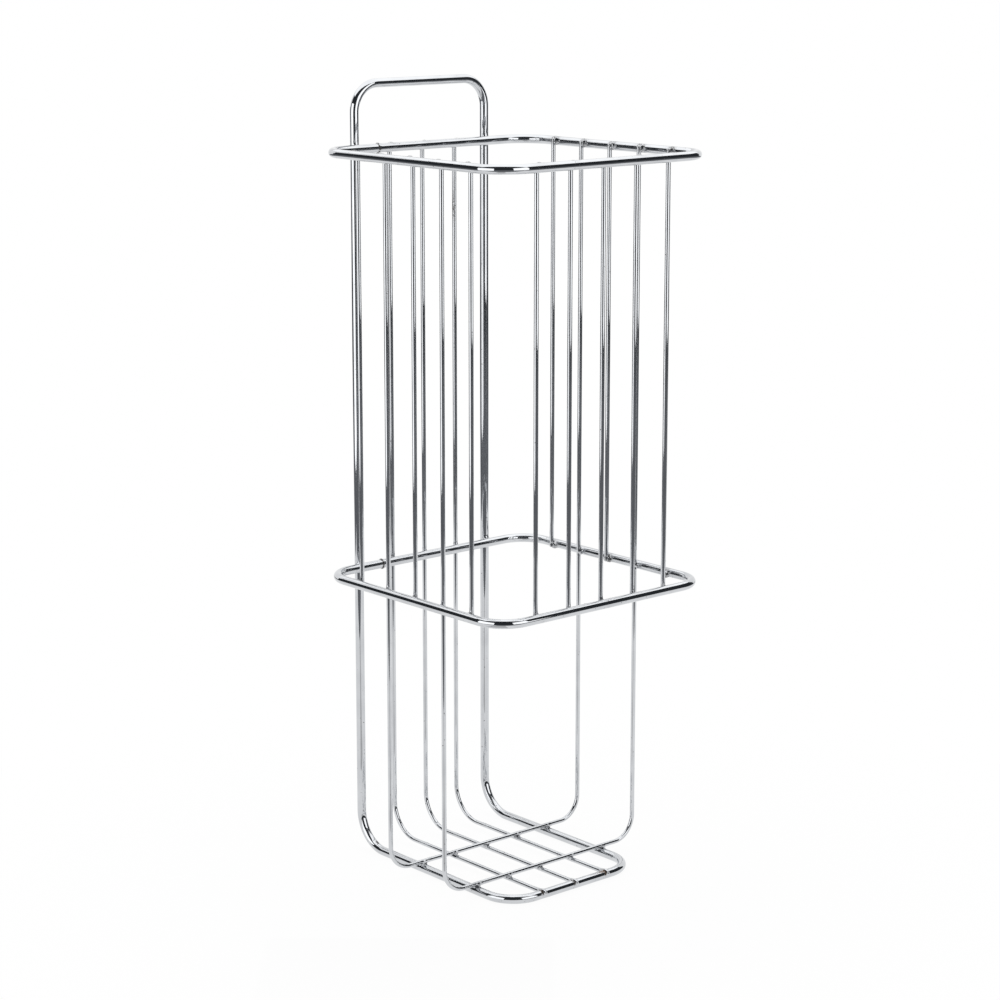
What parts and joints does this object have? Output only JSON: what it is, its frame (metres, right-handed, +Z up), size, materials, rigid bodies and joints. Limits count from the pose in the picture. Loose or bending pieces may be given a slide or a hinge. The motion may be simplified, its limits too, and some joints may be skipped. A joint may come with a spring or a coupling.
{
  "type": "toilet roll holder",
  "caption": "Free-standing chrome wire tower that stores a stack of spare toilet rolls, open at the lower front, with a carrying handle loop.",
  "frame": {"origin": "on the floor, in the middle of the holder's footprint", "axes": "+Z up towards the handle, -Y towards the open front where the rolls come out, +X to the right seen from the front"},
  "size_m": [0.153, 0.1582, 0.438],
  "materials": {
    "heavy_wire": "bright polished chrome plate on 5 mm steel wire",
    "thin_wire": "bright polished chrome plate on 2.5 mm steel wire"
  },
  "bodies": {
    "root": {"main_frame": "heavy_wire", "top_ring": "heavy_wire", "middle_ring": "heavy_wire", "back_wire_left": "thin_wire", "back_wire_middle": "thin_wire", "back_wire_right": "thin_wire", "cradle_wire_front": "thin_wire", "cradle_wire_rear": "thin_wire", "side_wire_left_front": "thin_wire", "side_wire_left_middle": "thin_wire", "side_wire_left_rear": "thin_wire", "side_wire_right_front": "thin_wire", "side_wire_right_middle": "thin_wire", "side_wire_right_rear": "thin_wire", "front_wire_1": "thin_wire", "front_wire_2": "thin_wire", "front_wire_3": "thin_wire", "front_wire_4": "thin_wire", "front_wire_5": "thin_wire"}
  },
  "joints": []
}
